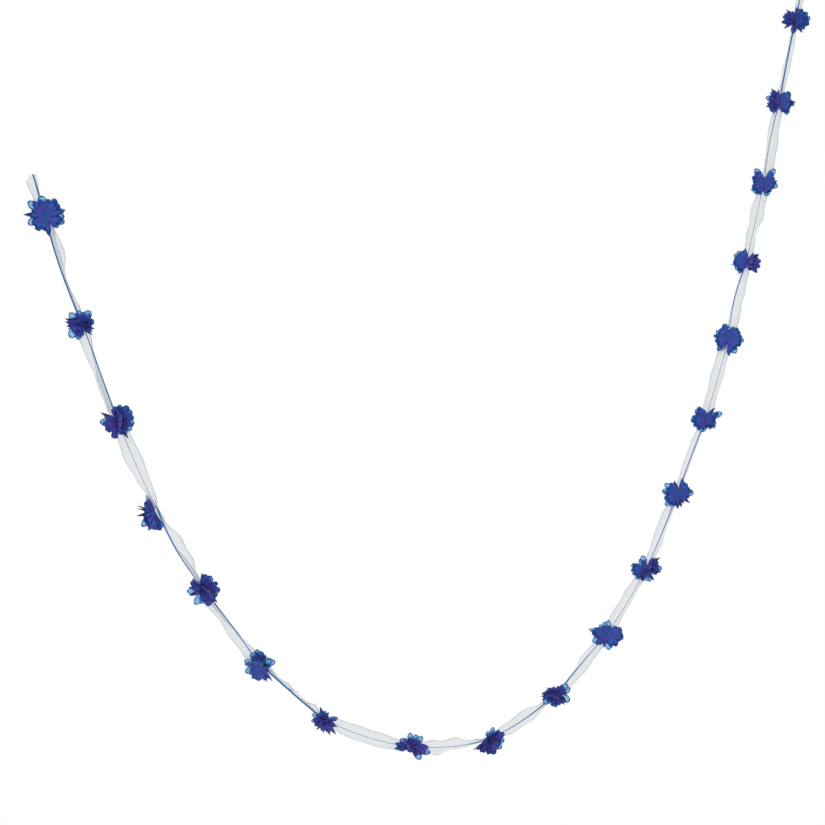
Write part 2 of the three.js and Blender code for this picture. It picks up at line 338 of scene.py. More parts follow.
SEEN_AT = (0.13, 0.38, 0.62, 0.87)  # the four places, as shares of the stretch
SEWN_TUCK = 0.8  # how far the tucks are closed under a bloom
OPEN_TUCK = 0.12  # and in the middle of a stretch
HALF_COLUMNS = 10
TUCKED = (4, 8)  # the columns of each half that fold back, counted from the thread
FULL_TURN_BACK = 0.95 * math.pi
TURN_AT_THREAD, TURN_MORE = 0.7, 0.6  # of a half's mean turn, at the thread, and how much more at its edge
HEM = 0.8 * MM
EDGE_WAVE = 0.7 * MM
EDGE_WAVES = 3.6  # along one stretch
RIPPLES = 3  # along one stretch
SEWN_GATHER = 0.5  # how dense the cloth looks under a bloom
RIBBON_SEED = 4


def stretch_at(t):
    """The stretch that t lies in: its index, the share of it that lies before t, and how it hangs."""
    index = min(int(t), STRETCHES - 1)
    return index, t - index, HANGS[index]


def shown(t, side, phases):
    """How much of a half's width shows at t. side is 0 for the inner half and 1 for the outer one."""
    index, share, hang = stretch_at(t)
    values = hang.outer if side else hang.inner
    points = list(zip((0.0, *SEEN_AT, 1.0), (hang.necks[0], *values, hang.necks[1])))
    ripple = hang.ripple * math.sin(RIPPLES * 2 * math.pi * share + phases[2 * index + side])
    for (start, a), (end, b) in zip(points, points[1:]):
        if share <= end:
            break
    return smooth_step(a, b, (share - start) / (end - start)) + ripple * math.sin(math.pi * share)


def opened(t):
    """How near t is to the middle of its stretch: 0 at a bloom, and 1 halfway and at a cut end."""
    index, share, _ = stretch_at(t)
    if index == 0:
        return smooth_step(1, 0, share)
    if index == STRETCHES - 1:
        return smooth_step(0, 1, share)
    return math.sin(math.pi * share)


def bowed_route(t):
    """The route with the small bow of each stretch: its place, its direction, and the facing axes."""
    place, direction = route(t)
    outward, inward = facing(place, direction)
    bow = stretch_at(t)[2].bow * MM * opened(t)
    return place + inward * bow, direction, outward, inward


def half_section(showing, tuck, side):
    """The points of one half of a cross-section: how far each is sideways and back from the thread."""
    step = RIBBON_WIDTH / 2 / HALF_COLUMNS
    flat_share = 1 - len(TUCKED) / HALF_COLUMNS * (1 - math.cos(FULL_TURN_BACK * tuck))
    turn = math.acos(max(-1.0, min(showing / flat_share, 1.0)))
    sideways, back, points = 0.0, 0.0, []
    for column in range(1, HALF_COLUMNS + 2):
        angle = turn * (TURN_AT_THREAD + TURN_MORE * column / HALF_COLUMNS)
        length = step
        if column in TUCKED:
            angle += FULL_TURN_BACK * tuck
        if column > HALF_COLUMNS:
            angle += FULL_TURN_BACK
            length = HEM
        sideways += side * math.cos(angle) * length
        back += math.sin(angle) * length
        points.append((sideways, back))
    return points


def make_ribbon():
    rows, columns = STRETCHES * STEPS_PER_STRETCH, 2 * (HALF_COLUMNS + 1)
    bm, cells, (cloth, blue, gathered) = new_grid(rows, columns, "blue", "gathered")
    random = Random(RIBBON_SEED)
    waves, ripples = ([random.uniform(0, 2 * math.pi) for _ in range(2 * STRETCHES)] for _ in range(2))
    sections, blues, bunches = [], [], []
    for row in range(rows + 1):
        t = row / STEPS_PER_STRETCH
        index, share, hang = stretch_at(t)
        place, _, outward, inward = bowed_route(t)
        showing = [shown(t, side, ripples) for side in (0, 1)]
        tuck = mix(SEWN_TUCK, OPEN_TUCK, opened(t) ** 0.5)
        inner = half_section(showing[0], tuck, 1)
        outer = half_section(showing[1], tuck, -1)
        points = []
        for column, (sideways, back) in enumerate([*reversed(outer), (0.0, 0.0), *inner]):
            from_thread = abs(column - columns / 2) / (columns / 2)
            phase = waves[2 * index + (column > columns // 2)]
            wave = EDGE_WAVE * from_thread ** 2 * math.sin(EDGE_WAVES * 2 * math.pi * share + phase)
            points.append(place + inward * sideways - outward * (back + wave * math.sin(math.pi * share)))
        sections.append(points)
        halves = [smooth_step(0, 1, (BLUE_FROM - half) / BLUE_OVER) for half in showing]
        blues.append([halves[1]] * (columns // 2) + [max(halves)] + [halves[0]] * (columns // 2))
        bunches.append(mix(SEWN_GATHER, hang.gathered, opened(t) ** 0.5))
    along = [0.0]
    for before, after in zip(sections, sections[1:]):
        along.append(along[-1] + (after[columns // 2] - before[columns // 2]).length)
    for v, (row, column) in cells.items():
        v.co = sections[row][column]
        v[blue] = blues[row][column]
        v[gathered] = bunches[row]
    for face in bm.faces:
        for loop in face.loops:
            row, column = cells[loop.vert]
            loop[cloth].uv = (along[row], column / columns * RIBBON_WIDTH)
    return finish_piece(bm, "organza_ribbon", ORGANZA, ORGANZA_THICKNESS)


ribbon = make_ribbon()
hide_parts("ribbon")
print("ribbon:", len(ribbon.data.polygons), "faces")

# %% [markdown]
# ## Finish and form: the blue thread
#
# The thread is two plies of spun polyester twisted together, with a soft shine. It could be two tubes wound
# round each other, but together they have a section like an 8 that turns as it runs, so one tube is laid
# along the route and its section is pinched and turned, with half the faces. It runs in front of the ribbon
# where that is folded, and behind it where it hangs open, as a running stitch does.

# %% Thread
THREAD_SIDES = 10
THREAD_STEPS = 150  # for each stretch
TWISTS = 26  # turns in each stretch, about 4 mm a turn
PINCH = 0.22
THREAD_ROUND = math.pi * MM  # once round a thread 1 mm thick
IN_FRONT = 1.15 * MM  # from the ribbon's middle line to the thread's, as in the frame
# Where the thread runs along each stretch: 0 is in front of the ribbon, and 1 is behind it.
BEHIND = [0, 0, 0, 1, 0, 0, 0, 1, 1, .5, .2, 1, .5, 1, 1, .5, 1, .8, 0, .2]
# How stout it is at the start and the end of each, in millimetres: thin where the ribbon pulls it taut.
STOUT = [(1.6, 1.6), (1.7, 1.6), (1.0, 1.6), (0.75, 0.7), (1.4, 0.9), (1.6, 0.9), (2.0, 1.9), (0.75, 0.7),
         (0.8, 0.8), (0.8, 1.7), (1.7, 0.75), (0.75, 0.8), (0.9, 1.4), (1.4, 1.3), (0.8, 0.8), (0.8, 1.3),
         (0.8, 0.8), (0.9, 1.2), (2.1, 1.9), (1.6, 1.6)]
BEHIND_DEPTH = 1.0 * MM


def sewing_thread():
    material = new_material("blue polyester sewing thread")
    uv = add_node(material, "UVMap", uv_map="cloth")
    streaks = add_node(material, "TexNoise", {"Vector": (uv, "UV"), "Scale": 900.0, "Detail": 3.0})
    tint = colour_ramp(material, (streaks, "Fac"), [(0.3, "#054682"), (0.7, "#125F9E")])
    fibre = add_node(material, "BsdfPrincipled", {
        "Base Color": (tint, "Color"), "Roughness": 0.6, "IOR": 1.57, "Specular IOR Level": 0.3,
        "Sheen Weight": 0.1, "Sheen Roughness": 0.4,
    })
    add_node(material, "OutputMaterial", {"Surface": (fibre, "BSDF")})
    return material


def thread_height(t):
    """How far in front of the ribbon the thread runs at t."""
    index, share, _ = stretch_at(t)
    dip = BEHIND[index] * math.sin(math.pi * share) ** 0.5
    return mix(IN_FRONT, -BEHIND_DEPTH, dip)


def make_thread():
    rows = STRETCHES * THREAD_STEPS
    bm, cells, (cloth,) = new_grid(rows, THREAD_SIDES)
    for face in bm.faces:
        for loop in face.loops:
            row, side = cells[loop.vert]
            loop[cloth].uv = (row / rows * ribbon_length, side / THREAD_SIDES * THREAD_ROUND)
    axes = []
    for row in range(rows + 1):
        t = row / THREAD_STEPS
        place, _, outward, inward = bowed_route(t)
        index, share, _ = stretch_at(t)
        radius = smooth_step(*STOUT[index], share) / 2 * MM
        axes.append((place + outward * thread_height(t), outward, inward, 2 * math.pi * TWISTS * t, radius))
    for v, (row, side) in cells.items():
        middle, outward, inward, turn, full = axes[row]
        angle = 2 * math.pi * side / THREAD_SIDES
        radius = full * (1 - PINCH * (0.5 - 0.5 * math.cos(2 * (angle - turn))))
        v.co = middle + radius * (math.cos(angle) * outward + math.sin(angle) * inward)
    bmesh.ops.remove_doubles(bm, verts=bm.verts, dist=0.001 * MM)
    ends = [e for e in bm.edges if e.is_boundary]
    bmesh.ops.holes_fill(bm, edges=ends, sides=0)
    bmesh.ops.recalc_face_normals(bm, faces=bm.faces)
    return finish_piece(bm, "sewing_thread", THREAD)


THREAD = sewing_thread()
thread = make_thread()
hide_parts("thread")
print("thread:", len(thread.data.polygons), "faces")

# %% [markdown]
# ## Finish: royal blue chiffon
#
# The blooms are cut from sheer royal blue chiffon. One thickness over a white wall is a light sky blue,
# because the wall shows through. Two are a clear blue, and four or more a deep violet blue, because hardly
# any light comes back out. Real transparency would need many sheets over one another for that, so the
# thicknesses are counted on the mesh at every point and stored as an attribute named plies, which a colour
# ramp turns into a colour. Loose petals keep the cloth's real transparency, and the stack, where it lies
# deep, is opaque. Hardly any light reaches the slits between the layers, the cloth that the stitches draw in
# and the underside of a fold, so their shade is painted into the colour: a second attribute says how much
# painted shade lies there. The cut edge is sealed by heat, which leaves it darker, and a third, rim, marks
# it.

# %% Chiffon
CHIFFON_THICKNESS = 0.16 * MM
SINGLE_ALPHA = 0.70  # for each of the sheet's two skins
MOST_PLIES = 6
CHIFFON_BY_PLIES = [
    (0.0, "#76BEE8"), (0.16, "#2A86D8"), (0.32, "#2260B8"), (0.48, "#2C4C98"), (0.64, "#2E3E8C"),
    (0.8, "#393A8C"), (1.0, "#48419F"),
]
MOST_COUNTED = 0.8  # the most plies that are counted lie here on the ramp, and standing folds beyond
SEALED_EDGE = "#0E4290"
# Painted shade: the near black that the slits, the drawn-in cloth and the folded flanks are mixed towards.
PAINTED_FOLD_SHADE = "#0C0A26"
PLIES_SLACK, PLIES_TIGHT = 0.4, 0.08  # the cloth is loose in places, which lets more light back out
PATCHES_PER_METRE = 170  # those places are about 6 mm across
SPECKS_PER_METRE, SPECK_BRIGHTNESS = 260, (0.84, 1.12)
STORED = ("plies", "rim", "deep")


def chiffon(name, alpha):
    material = new_material(name)
    uv = add_node(material, "UVMap", uv_map="cloth")
    plies, rim, deep = (add_node(material, "Attribute", attribute_name=stored) for stored in STORED)
    patches, specks = (add_node(material, "TexNoise", {"Vector": (uv, "UV"), "Scale": scale, "Detail": 2.0})
                       for scale in (PATCHES_PER_METRE, SPECKS_PER_METRE))
    slack = add_node(material, "MapRange", {"Value": (patches, "Fac"), "From Min": 0.35, "From Max": 0.62,
                     "To Min": -PLIES_SLACK, "To Max": PLIES_TIGHT})
    lying = add_node(material, "Math", {0: (plies, "Fac"), 1: (slack, "Result")}, operation="ADD")
    tint = colour_ramp(material, (lying, "Value"), CHIFFON_BY_PLIES)
    sealed = add_node(material, "Mix", {"Factor": (rim, "Fac"), "A": (tint, "Color"),
                      "B": linear(SEALED_EDGE)}, data_type="RGBA")
    low, high = SPECK_BRIGHTNESS
    uneven = add_node(material, "MapRange", {"Value": (specks, "Fac"), "To Min": low, "To Max": high})
    toned = add_node(material, "HueSaturation", {"Color": (sealed, "Result"), "Value": (uneven, "Result")})
    # Painted shade: the colour is mixed towards the near black of the slits and folds, as much as the
    # attribute says.
    shade = add_node(material, "Mix", {"Factor": (deep, "Fac"), "A": (toned, "Color"),
                     "B": linear(PAINTED_FOLD_SHADE)}, data_type="RGBA")
    threads = weave(material, (uv, "UV"), WEAVE_PITCH)
    bump = add_node(material, "Bump", {"Height": (threads, "Value"), "Strength": 0.3, "Distance": 0.06 * MM})
    cloth = add_node(material, "BsdfPrincipled", {
        "Base Color": (shade, "Result"), "Roughness": 0.75, "IOR": 1.5, "Specular IOR Level": 0.2,
        "Alpha": alpha, "Sheen Weight": 0.05, "Sheen Roughness": 0.5, "Normal": (bump, "Normal"),
    })
    add_node(material, "OutputMaterial", {"Surface": (cloth, "BSDF")})
    return material


STACKED = chiffon("royal blue chiffon, stacked", 1.0)
SINGLE = chiffon("royal blue chiffon, single", SINGLE_ALPHA)

# %% [markdown]
# ## The blooms
#
# A bloom is a stack of round scalloped discs, stitched through along a line, which draws each disc together
# into two halves. In the flat blooms the halves lie open like wings, with a notch between them at both ends
# of the stitches. In the full ones they stand up, so that one looks onto the edges of the cloth, with dark
# slits between the layers. The lowest petals slip out from under the stack and lie alone, and look light. No
# two blooms are alike, so each lists its own petals.
#
# Each petal of the stack could be a piece of its own, but the real ones hang together in a disc, so each
# layer is made as half a disc. It starts as a flat grid from the stitches to the rim, whose points are moved
# to the outline of the petals, waved and lifted. A round disc would have a pole in its middle where faces
# pinch, and the grid has none.

# %% Where and how each bloom is sewn
# spin turns a bloom round the ribbon, and skew turns its stitches, in degrees. reach is the length of its
# petals in millimetres. inner and outer are how far the lowest and the highest layer of each half stand up
# from the ribbon, in degrees. They started as the part's own values and were then fitted to the cloth, so the
# fourth bloom is turned to face the viewer, and a few are flatter or smaller than their solids. Each petal is
# the way it points, in degrees clockwise from straight up in the picture, and how far its tip reaches, as a
# share of reach. The round and the pointed ones belong to the stack. The light ones are single and lie out
# alone, and so are the spikes, which are folded lengthways.
Bloom = namedtuple("Bloom", "spin skew reach inner outer round pointed light spikes")
BLOOMS = [Bloom(*row) for row in (
    (14, 12, 20, (-8, 30), (-14, 20),
     {12: .74, 38: .88, 60: .84, 112: .9, 134: .84, 343: .72, 318: .8, 292: .64, 262: .66,
      234: .74, 208: .8, 185: .7},
     {77: 1.02, 168: 1},
     {309: 1, 240: .9, 96: .96, 112: 1.04, 350: .92},
     {270: 1, 169: 1.03}),
    (42, 66, 14.8, (8, 66), (16, 70),
     {340: .74, 12: .76, 42: .86, 70: .82, 190: .82, 165: .7, 214: .66},
     {90: .84, 118: .86, 300: .8, 262: .8, 140: .8},
     {314: 1.04, 357: .92, 37: 1.06, 221: 1.13, 190: 1.02},
     {296: 1, 279: 1.02, 262: .9, 250: .78, 131: 1.06, 107: 1.02, 95: .86}),
    (28, -20, 18, (8, 64), (-4, 62),
     {345: .76, 8: .84, 32: .93, 54: .9, 74: .84, 98: .88, 262: .8, 236: .74, 190: .92, 162: .72},
     {120: .8},
     {268: .96, 8: .9, 30: .97, 92: .96, 118: .9, 142: .85, 296: .75},
     {303: 1.04, 145: 1.08}),
    (84, 0, 17, (52, 96), (88, 100),
     {352: .9, 325: .94, 300: .9, 278: .84, 255: .9, 232: .92, 210: .98, 188: 1},
     {12: 1, 165: 1.06},
     {327: 1.16, 226: 1.2, 195: 1.1},
     {300: 1.06, 286: 1.04, 270: 1.02, 160: 1.1}),
    (20, 6, 18, (2, 66), (0, 62),
     {320: .84, 300: .78, 5: .84, 28: .82, 60: .8, 84: .86, 112: .8, 160: .86, 190: .6},
     {284: .8, 135: .86},
     {5: .92, 28: .92, 62: .84, 88: .95, 160: .94, 190: .8, 213: .9, 268: .95},
     {354: 1.02, 130: 1.02, 255: .88}),
    (46, 34, 17.2, (-6, 24), (-8, 22),
     {328: .72, 348: .74, 8: .74, 26: .7, 88: .72, 112: .72, 180: .82, 205: .8, 235: .66, 285: .74,
      318: .62},
     {145: .96, 40: .64},
     {336: .94, 354: .98, 14: .94, 60: .9, 71: 1.04, 180: .9, 244: .86, 295: .95, 284: .84},
     {20: .96, 130: 1.16, 147: 1.02}),
    (24, 2, 14.5, (6, 62), (14, 66),
     {0: .68, 300: .74, 272: .8, 248: .78, 30: .6, 168: .72, 200: .7},
     {80: .9, 115: .86, 140: .9},
     {300: .98, 270: .96, 82: 1.02},
     {342: 1.08, 226: .88, 190: .8, 158: .98, 136: 1.2, 115: 1.04, 148: .86}),
    (-4, -34, 17.2, (0, 62), (6, 66),
     {350: .6, 20: .6, 50: .66, 305: .6, 120: .8, 150: .62},
     {278: 1.02, 262: 1.02, 88: 1.02, 106: .96},
     {352: .92, 26: .86, 50: .96, 303: .88, 108: 1.24, 141: 1.04},
     {166: .62}),
    (12, 28, 16, (20, 72), (20, 72),
     {45: .92, 62: .98, 25: .74, 80: .8, 104: .66, 140: .7, 165: .84, 190: .92, 213: .95,
      230: 1.02, 260: .62, 300: .42, 340: .5},
     {244: 1.22},
     {20: .93, 346: .58, 70: 1.18, 96: 1.12, 124: 1.02, 160: .98},
     {243: 1.24}),
    (-24, -38, 16, (8, 62), (10, 64),
     {38: .78, 60: .76, 80: .7, 180: .86, 204: .88, 160: .8, 228: .8, 250: .84, 274: .88, 296: .7,
      318: .6, 340: .58, 10: .62},
     {270: 1.02, 252: 1.04, 290: .84, 140: .82},
     {66: 1.14, 48: 1.1, 182: .92, 236: 1.14, 113: 1.12},
     {305: .9, 276: 1.12, 262: 1.16, 146: .98, 124: .96, 28: .84}),
    (-28, 10, 18.5, (-12, 26), (-12, 24),
     {52: .8, 70: 1.06, 90: 1.08, 110: 1.04, 132: .98, 154: .84, 20: .62, 345: .62, 318: .66,
      300: .84, 280: .84, 262: .72, 228: .84},
     {288: 1.08, 210: .74},
     {350: .84, 8: .94, 243: 1.02, 100: 1.14, 173: 1, 322: .8},
     {195: .9}),
    (-36, 0, 17.5, (-12, 18), (8, 74),
     {272: .98, 250: .9, 226: .84, 205: .72, 345: .7, 36: .74, 60: .9, 84: .88, 110: .8},
     {292: 1.06, 48: 1.02, 100: 1},
     {347: .98, 330: .84, 175: .82, 86: 1.12, 160: .9},
     {50: 1.3, 193: .96, 145: 1.02, 64: 1.04, 78: 1, 90: 1, 104: 1.02}),
    (-36, 10, 18, (-8, 24), (-6, 28),
     {28: .9, 42: .86, 62: .86, 104: .8, 205: .92, 228: .94, 250: .92, 326: .86, 298: .8},
     {20: 1.08, 83: .98, 276: .96, 183: .98, 344: .84, 128: .9},
     {226: 1.18, 85: 1.09, 279: 1.09, 307: 1.11},
     {130: 1.08, 165: 1, 151: .88, 343: .9, 186: 1.04}),
    (-36, -4, 17.5, (-8, 26), (-6, 34),
     {325: .88, 302: .8, 278: .88, 258: .96, 238: .92, 217: .96, 134: .84, 112: .76, 90: .72,
      345: .62},
     {40: .84, 72: 1.02, 194: .92, 158: .8},
     {325: .97, 309: .95, 261: 1.08, 195: 1.02, 73: 1.22},
     {42: .98, 173: .78, 157: .9, 149: .92}),
    (-40, 6, 19, (-12, 20), (-14, 22),
     {341: .9, 320: .84, 298: .8, 262: .84, 242: .84, 222: .94, 165: .9, 144: .86, 122: .9,
      100: .88, 80: .88, 60: .88, 44: .86, 28: .8},
     {281: .96, 181: 1.14},
     {344: 1.01, 300: .96, 219: 1.06, 155: 1.09, 99: 1.02, 4: .73},
     {280: 1.04}),
    (-40, -2, 17.5, (-14, 16), (2, 64),
     {343: .88, 325: .86, 302: .92, 282: .94, 254: .88, 230: .84, 70: .84, 88: .98, 106: .96,
      128: .9, 150: .66},
     {350: 1, 268: 1.02, 213: .96, 133: 1.02, 58: .94},
     {320: 1.01, 300: 1.05, 240: .98},
     {61: 1.04, 212: 1.04, 134: 1.08}),
    (-36, 0, 17, (-12, 22), (-12, 24),
     {322: .96, 300: .94, 280: .8, 258: .88, 238: 1, 218: 1, 196: .9, 165: .9, 143: .84, 118: .84,
      92: .88, 66: .82, 40: .96},
     {296: 1},
     {324: 1.2, 39: 1.24, 106: 1.06, 166: 1.05, 222: 1.12},
     {88: .98}),
    (-35, 4, 18, (0, 58), (-14, 14),
     {30: .74, 50: .98, 72: .84, 92: .94, 116: .88, 138: .96, 160: .74, 300: .8, 282: .82, 258: .7,
      238: .8, 220: .86},
     {97: 1.1, 58: 1, 324: .92, 262: .84, 146: .98, 212: .94},
     {286: 1.02, 236: .88},
     {325: 1.1, 309: .96, 257: .9, 247: 1.1, 271: .8, 98: 1.14}),
    (-40, 12, 17.5, (10, 66), (-8, 38),
     {32: .92, 56: .94, 80: .98, 104: .94, 126: .84, 150: .78, 190: .8, 282: .92, 258: .88,
      304: .8},
     {10: 1.02, 262: 1},
     {60: 1.05, 82: 1.09, 104: 1.05, 190: .94, 302: .92},
     {320: 1.02, 232: 1.12, 155: 1.16, 261: 1.08, 243: .84}),
)]
FRONT = Vector((0, -1, 0))
SEAT_HEIGHT = 1.95 * MM  # from the ribbon's middle to the underside of a stack
SIDE_ON = 60  # a bloom that is spun further than this is seen from its side


def sewn_axes(index):
    """A bloom's axes as a matrix: along its stitches, towards the swag's inside, and out, from its seat."""
    place, direction = route(index + 1)
    bloom = BLOOMS[index]
    outward = Matrix.Rotation(math.radians(bloom.spin), 3, direction) @ FRONT
    stitches = Matrix.Rotation(math.radians(bloom.skew), 3, outward) @ direction
    sideways = outward.cross(stitches)
    turn = Matrix((stitches, sideways, outward)).transposed().to_4x4()
    return Matrix.Translation(place + outward * SEAT_HEIGHT) @ turn


def in_picture(point):
    """Where the camera sees a point, in its own right and up directions at the point's distance."""
    seen = camera.matrix_world.inverted() @ point
    return Vector((seen.x, seen.y)) / -seen.z


def clock_heading(clock, axes):
    """The direction in a bloom's own x, y and z that points to clock in the picture, one unit long there."""
    angle = math.radians(clock)
    wanted = Vector((math.sin(angle), math.cos(angle)))
    seat = axes.translation
    distance = -(camera.matrix_world.inverted() @ seat).z
    along, aside = ((in_picture(axes @ (MM * axis)) - in_picture(seat)) / MM * distance
                    for axis in (Vector((1, 0, 0)), Vector((0, 1, 0))))
    shrink = along.x * aside.y - along.y * aside.x
    if abs(shrink) < math.cos(math.radians(SIDE_ON)):
        right, up = camera.matrix_world.col[0].to_3d(), camera.matrix_world.col[1].to_3d()
        return axes.to_3x3().inverted() @ (right * wanted.x + up * wanted.y)
    x = (wanted.x * aside.y - wanted.y * aside.x) / shrink
    y = (along.x * wanted.y - along.y * wanted.x) / shrink
    return Vector((x, y, 0))


# %% Half a scalloped disc
LYING_LAYERS, STANDING_LAYERS = 7, 4
UPRIGHT = 55  # a half whose highest layer is lifted further than this stands, and any other one lies
STANDS = 25, 30  # a layer lifted further than the first stands more and more, and fully the second beyond it
LAYER_RISE = 0.36 * MM  # from one layer to the next at the stitches
FIRST_LAYER = 1.0 * MM  # the lowest layer's height over the seat
STITCHED = 12.5 * MM  # how long the stitched line is
UNDER_STITCHES = 0.3 * MM  # how far a half reaches past it
STITCHED_SHARE = 0.34  # of a bloom's reach, where no petal lies
RING_CUTS, RIM_CUTS = 11, 66
CROWDED = 1.4  # the grid's rows lie closer near the rim
ROUND_WIDTH, POINT_WIDTH = math.radians(14.5), math.radians(14)  # of half a petal
ROUND_TIP, POINT_TIP = 2.6, 0.75  # the exponents of their outlines
TIP_SPREAD = 0.045  # of a petal's reach, more or less, drawn at random
STACK_SHARE, LOWEST_SHARE = 1.03, 1.08  # of the reach, because a layer's curve makes it look shorter
WAVES = 1.6, 2.8  # how many lie round half a disc, drawn at random
WAVES_GROW = 1.3  # the exponent of their height towards the rim
CRINKLE = 0.4 * MM
CRINKLE_SIZE = 7 * MM
CUP = 0.9 * MM  # how far the edges of a petal hang
BENDS_AT = 0.4  # a layer bends over at this share of its reach
SEALED = 0.92, 0.06  # the rim is dark from the first share of the reach on, and fully the second beyond it
SLIT_GROWS = 0.15, 0.2  # and a slit's painted shade likewise
SEAM_SHADE, SEAM_SHARE = 0.4, 0.1  # how dark the painted shade is on the cloth that the stitches draw in, and how far that reaches
# Each of these is a pair: the value of a layer that lies, and that of one that stands.
WIDER = 1, 1.5  # a petal's width
NOTCH = 0.52, 0.66  # where the notch between two petals ends, as a share of a petal
SHORTER = 0.028, 0.042  # how much shorter each layer is than the one below
TURN_SPREAD = math.radians(4), math.radians(9)  # how far a petal is turned at random
RUFFLE = 0.5, 1.1  # the height of the waves in millimetres
BEND = -8, 10  # how far a layer bends over, in degrees
BLADE = 0.35 * MM, 3.4 * MM  # how far one edge of a petal stands over its neighbour's
GAP = 0.16, 0.3  # its low edge gets painted shade where it reaches at most this much past its neighbour
SLIT_SHADE = 0.45, 0.85  # how dark that painted shade is


def rim_share(angle, petals, standing):
    """How far a half disc reaches at an angle, where that lies across its petal, from -1 to 1, and how much
    less far the next petal reaches there."""
    reaches = [(STITCHED_SHARE, 1.0), (STITCHED_SHARE, 1.0)]
    for middle, share, pointed in petals:
        place = (angle - middle) / ((POINT_WIDTH if pointed else ROUND_WIDTH) * mix(*WIDER, standing))
        aside = abs(place)
        if aside < 1:
            profile = (1 - aside) ** POINT_TIP if pointed else (1 - aside ** ROUND_TIP) ** 0.5
            reaches.append((share * mix(mix(*NOTCH, standing), 1, profile), place))
    (far, across), (next_far, _) = sorted(reaches, reverse=True)[:2]
    return far, across, far - next_far


def half_disc(bm, layers, petals, reach, lift, side, layer, thickest, random):
    """Adds half a scalloped disc in a bloom's axes. side is 1 for the inner half and -1 for the outer."""
    made = bmesh.ops.create_grid(bm, x_segments=RING_CUTS, y_segments=RIM_CUTS, size=0.5)["verts"]
    standing = past(lift, *STANDS)
    spread = mix(*TURN_SPREAD, standing)
    petals = [
        (middle + random.uniform(-1, 1) * spread, share * (1 + random.uniform(-1, 1) * TIP_SPREAD), pointed)
        for middle, share, pointed in petals
    ]
    waves = random.uniform(*WAVES)
    phase = random.uniform(0, 2 * math.pi)
    slant = random.choice((-1, 1))
    reach *= STACK_SHARE - mix(*SHORTER, standing) * layer if layer else LOWEST_SHARE
    height = FIRST_LAYER + LAYER_RISE * layer
    ruffle, bend, blade, gap, slit_shade_strength = (mix(*pair, standing) for pair in (RUFFLE, BEND, BLADE, GAP, SLIT_SHADE))
    seed = Vector((random.uniform(0, 9), random.uniform(0, 9), height / MM))
    marks = {}
    for v in made:
        out, turn = 1 - (0.5 - v.co.x) ** CROWDED, 2 * v.co.y
        angle = turn * math.pi / 2
        share, across, ahead = rim_share(angle, petals, standing)
        root = Vector((turn / 2 * STITCHED, -UNDER_STITCHES))
        rim = Vector((math.sin(angle), math.cos(angle))) * reach * share
        flat = root.lerp(rim, out)
        raised = (1 + slant * across) / 2
        wave = ruffle * MM * math.sin(math.pi * waves * turn + phase) * out ** WAVES_GROW
        crinkle = CRINKLE * noise(Vector((flat.x, flat.y, 0)) / CRINKLE_SIZE + seed) * out
        depth = wave + crinkle - CUP * across ** 2 * out ** 2 + blade * raised * out
        rise = math.radians(lift) + math.radians(bend) * (out - BENDS_AT)
        v.co = Vector((
            flat.x,
            side * (flat.y * math.cos(rise) - depth * math.sin(rise)),
            height + flat.y * math.sin(rise) + depth * math.cos(rise),
        ))
        # Painted shade: in the slit under a petal's low edge where a neighbour overlaps it, and on the cloth
        # that the stitches draw in.
        slit_shade_mask = (raised < 0.5) * smooth_step(1, 0, ahead / gap) * past(out, *SLIT_GROWS)
        painted_dark = max(slit_shade_strength * slit_shade_mask, SEAM_SHADE * smooth_step(1, 0, out / SEAM_SHARE))
        marks[v] = (flat, thickest, past(out, *SEALED), painted_dark)
    tag_cloth(layers, marks, 0)


def tag_cloth(layers, marks, slot):
    """Stores each point's place on the flat cloth and its marks: least plies, rim and painted shade. The
    faces get the material in slot, or the first one on a sealed rim."""
    cloth, *values = layers
    rim = values[1]
    for v, (flat, *mark) in marks.items():
        for layer, value in zip(values, mark):
            v[layer] = value
        for loop in v.link_loops:
            loop[cloth].uv = flat
    for face in {face for v in marks for face in v.link_faces}:
        face.material_index = 0 if min(v[rim] for v in face.verts) > 0.5 else slot


# %% A loose petal
LOOSE_ROOT = 3.0 * MM  # from the bloom's middle to a loose petal's root
LIGHT_WIDTH, SPIKE_WIDTH = 8.4 * MM, 5.5 * MM
WIDTH_SPREAD = 0.9, 1.1  # times that, drawn at random
WIDE_LENGTH = 17 * MM  # a petal of this length has its full width
WIDEST = 1.1  # and a longer one has at most this much of it
LIGHT_LIFT, SPIKE_LIFT = (-2, 8), (2, 14)  # in degrees, drawn at random
LOOSE_CURL = -1.2, 1.6  # how far a tip curls up, in millimetres, drawn at random
PETAL_CUTS = 12
ROOT_WIDTH, WIDEST_AT = 0.6, 0.55  # a light petal's width at its root, and where it is widest, as shares
SAG, ROOF = 0.5 * MM, 1.7 * MM  # how far a light petal's middle hangs, and how high a spike's fold stands
SPIKE_POINT, SPIKE_TAPER = 0.04, 2.2  # the tip's share of the width, and the exponent of the outline
ROOF_FALLS = 0.6  # how much lower its fold is at the tip
SPIKE_PLIES = 0.9  # a spike is folded over itself, so its cloth lies at least as thick as this
SPIKE_FLANK_SHADE, FLANK_FROM = 0.9, -0.1  # how dark the painted shade on a spike's folded flank is, and where that flank begins
FLANK_GROWS = 0.3, 0.3  # along the petal, from the first share on, and fully the second beyond it
SIDE_SEALED, TIP_SEALED = (0.6, 0.16), (0.86, 0.06)  # likewise, of half its width and of its length
SEAL_STARTS = 0.3  # the sides look sealed from this share of a petal's length on


